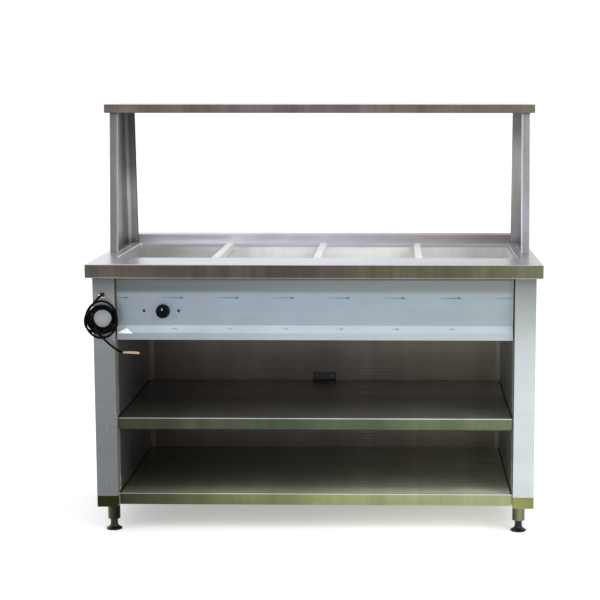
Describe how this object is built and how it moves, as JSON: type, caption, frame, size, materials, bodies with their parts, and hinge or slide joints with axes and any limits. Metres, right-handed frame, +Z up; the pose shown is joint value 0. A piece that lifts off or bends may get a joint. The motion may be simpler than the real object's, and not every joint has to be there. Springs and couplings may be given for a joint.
{
  "type": "steam table unit",
  "caption": "Stainless wet-well steam table with divided pan bays, an overshelf on tapered uprights, an open shelved cabinet, a thermostat knob and a coiled mains lead.",
  "frame": {"origin": "centre of the footprint, at floor level under the feet", "axes": "+X along the counter to the server's right as seen from the front, +Z up, the front (controls) faces -Y"},
  "size_m": [1.5036, 0.8307, 1.425],
  "materials": {
    "worktop_steel": "brushed along the length",
    "overshelf_steel": "brushed along the length",
    "upright_steel": "brushed along the height",
    "panel_steel": "brushed",
    "inner_steel": "polished, dull",
    "leg_steel": "polished tube",
    "foot_plastic": "black",
    "element_steel": "heat-dulled sheath",
    "brass": "satin",
    "white_plastic": "off-white",
    "shaft_steel": "satin",
    "bulb_copper": "satin",
    "knob_plastic": "black, glossy",
    "bezel": "bright",
    "lens": "dark amber",
    "wiring": "matt",
    "lever_red": "red sleeve",
    "film": "pale blue, slightly wrinkled",
    "cord_rubber": "black, matt",
    "conductor": "cream insulated cores"
  },
  "bodies": {
    "cabinet": {"worktop": "worktop_steel", "rear_upstand": "worktop_steel", "well_tank": "worktop_steel", "well_floor": "worktop_steel", "heating_element_1": "element_steel", "heating_element_2": "element_steel", "element_flanges": "brass", "thermostat_body": "white_plastic", "thermostat_bulb": "bulb_copper", "lamp_left": "bezel", "lamp_right": "bezel", "lamp_lens_left": "lens", "lamp_lens_right": "lens", "terminal_block": "white_plastic", "internal_wiring": "wiring", "cable_gland": "knob_plastic", "drain_pipe": "shaft_steel", "drain_valve_body": "brass", "under_tank_cover": "inner_steel", "front_apron": "panel_steel", "back_panel": "inner_steel", "side_panel_left": "panel_steel", "side_panel_right": "panel_steel", "side_liner_left": "inner_steel", "side_liner_right": "inner_steel", "post_front_left": "panel_steel", "post_front_right": "panel_steel", "post_rear_left": "panel_steel", "post_rear_right": "panel_steel", "upper_shelf": "inner_steel", "bottom_shelf": "inner_steel", "stiffeners": "inner_steel", "rear_bracket": "inner_steel", "corner_angles": "inner_steel", "leg_1": "leg_steel", "leg_2": "leg_steel", "leg_3": "leg_steel", "leg_4": "leg_steel", "upright_left": "upright_steel", "upright_right": "upright_steel", "overshelf": "overshelf_steel", "assembly_screws": "shaft_steel", "film_apron": "film", "film_posts": "film", "cord_lead": "cord_rubber", "cord_coil": "cord_rubber", "cord_tail": "cord_rubber", "cord_conductors": "conductor", "cord_tie": "knob_plastic"},
    "knob": {"control_knob": "knob_plastic", "knob_pointer": "white_plastic", "thermostat_shaft": "shaft_steel"},
    "drain_lever": {"drain_valve_lever": "lever_red"},
    "bar_1": {"divider_bar_1": "worktop_steel"},
    "bar_2": {"divider_bar_2": "worktop_steel"},
    "bar_3": {"divider_bar_3": "worktop_steel"},
    "foot_1": {"foot_1": "foot_plastic"},
    "foot_2": {"foot_2": "foot_plastic"},
    "foot_3": {"foot_3": "foot_plastic"},
    "foot_4": {"foot_4": "foot_plastic"}
  },
  "joints": [
    {"name": "thermostat_turn", "type": "hinge", "parent": "cabinet", "child": "knob", "pos_m": [-0.502, -0.36, 0.749], "axis": [0, 1, 0], "range_deg": [0, 280]},
    {"name": "drain_lever_turn", "type": "hinge", "parent": "cabinet", "child": "drain_lever", "pos_m": [0.56, 0.214, 0.61], "axis": [0, 1, 0], "range_deg": [0, 90]},
    {"name": "bar_1_lift", "type": "slide", "parent": "cabinet", "child": "bar_1", "axis": [0, 0, 1], "range_m": [0, 0.15]},
    {"name": "bar_2_lift", "type": "slide", "parent": "cabinet", "child": "bar_2", "axis": [0, 0, 1], "range_m": [0, 0.15]},
    {"name": "bar_3_lift", "type": "slide", "parent": "cabinet", "child": "bar_3", "axis": [0, 0, 1], "range_m": [0, 0.15]},
    {"name": "foot_1_height", "type": "slide", "parent": "cabinet", "child": "foot_1", "axis": [0, 0, 1], "range_m": [-0.02, 0.015]},
    {"name": "foot_2_height", "type": "slide", "parent": "cabinet", "child": "foot_2", "axis": [0, 0, 1], "range_m": [-0.02, 0.015]},
    {"name": "foot_3_height", "type": "slide", "parent": "cabinet", "child": "foot_3", "axis": [0, 0, 1], "range_m": [-0.02, 0.015]},
    {"name": "foot_4_height", "type": "slide", "parent": "cabinet", "child": "foot_4", "axis": [0, 0, 1], "range_m": [-0.02, 0.015]}
  ]
}
